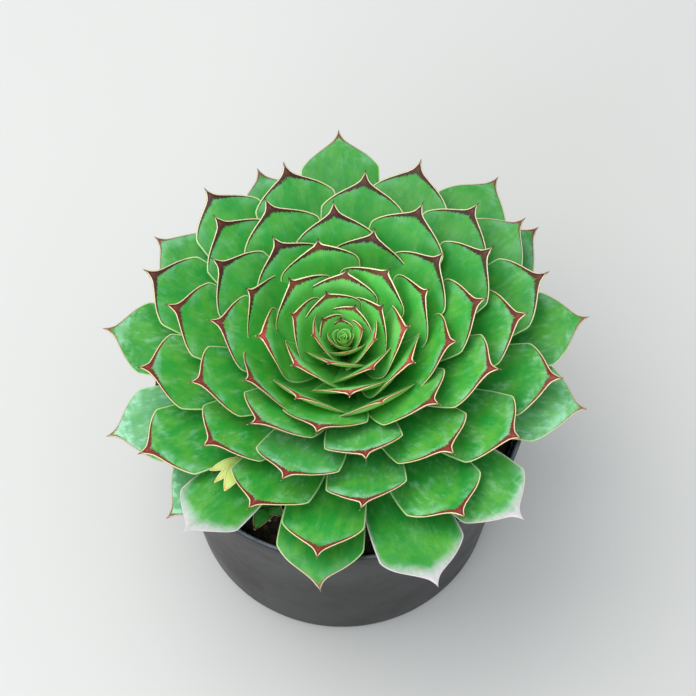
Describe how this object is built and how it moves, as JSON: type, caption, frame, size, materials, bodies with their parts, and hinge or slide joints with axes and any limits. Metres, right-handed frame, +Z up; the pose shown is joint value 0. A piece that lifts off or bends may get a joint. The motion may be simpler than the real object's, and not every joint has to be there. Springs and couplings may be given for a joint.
{
  "type": "potted houseleek",
  "caption": "Spiral rosette of fleshy green, red-tipped leaves on a short stem, growing in a round black plastic nursery pot filled with dark mix.",
  "frame": {"origin": "centre of the pot's underside, on the surface that the pot stands on", "axes": "+Z up along the pot's axis, -Y towards the front, where the rosette's oldest leaves leave the pot's rim and the mix showing, +X to the right seen from the front"},
  "size_m": [0.1277, 0.1344, 0.1089],
  "materials": {
    "leaf": "satin",
    "old_leaf": "satin",
    "heart_leaf": "satin",
    "offset_leaf": "satin",
    "pale_leaf": "satin",
    "stem": "matte",
    "growing_mix": "matte",
    "pot_plastic": "satin"
  },
  "bodies": {
    "root": {"growing_mix": "growing_mix", "heart": "heart_leaf", "leaf_28": "leaf", "leaf_29": "leaf", "leaf_30": "leaf", "leaf_31": "leaf", "leaf_32": "leaf", "leaf_33": "leaf", "leaf_34": "leaf", "leaf_35": "leaf", "leaf_36": "leaf", "leaf_37": "leaf", "leaf_38": "leaf", "leaf_39": "leaf", "leaf_40": "leaf", "leaf_41": "leaf", "leaf_42": "leaf", "leaf_43": "leaf", "leaf_44": "leaf", "leaf_45": "leaf", "leaf_46": "leaf", "leaf_47": "leaf", "leaf_48": "leaf", "leaf_49": "leaf", "leaf_50": "leaf", "leaf_51": "leaf", "leaf_52": "leaf", "leaf_53": "leaf", "leaf_54": "leaf", "leaf_55": "leaf", "leaf_56": "leaf", "leaf_57": "leaf", "leaf_58": "leaf", "leaf_59": "leaf", "leaf_60": "leaf", "leaf_61": "leaf", "leaf_62": "leaf", "leaf_63": "leaf", "leaf_64": "leaf", "leaf_65": "leaf", "leaf_66": "leaf", "leaf_67": "old_leaf", "leaf_68": "old_leaf", "leaf_69": "old_leaf", "leaf_70": "old_leaf", "leaf_71": "old_leaf", "leaf_72": "old_leaf", "leaf_73": "old_leaf", "leaf_74": "old_leaf", "leaf_75": "old_leaf", "leaf_76": "old_leaf", "leaf_77": "old_leaf", "leaf_78": "old_leaf", "leaf_79": "old_leaf", "leaf_80": "old_leaf", "leaf_84": "old_leaf", "offset_green": "offset_leaf", "offset_pale": "pale_leaf", "pot": "pot_plastic", "stem": "stem"}
  },
  "joints": []
}
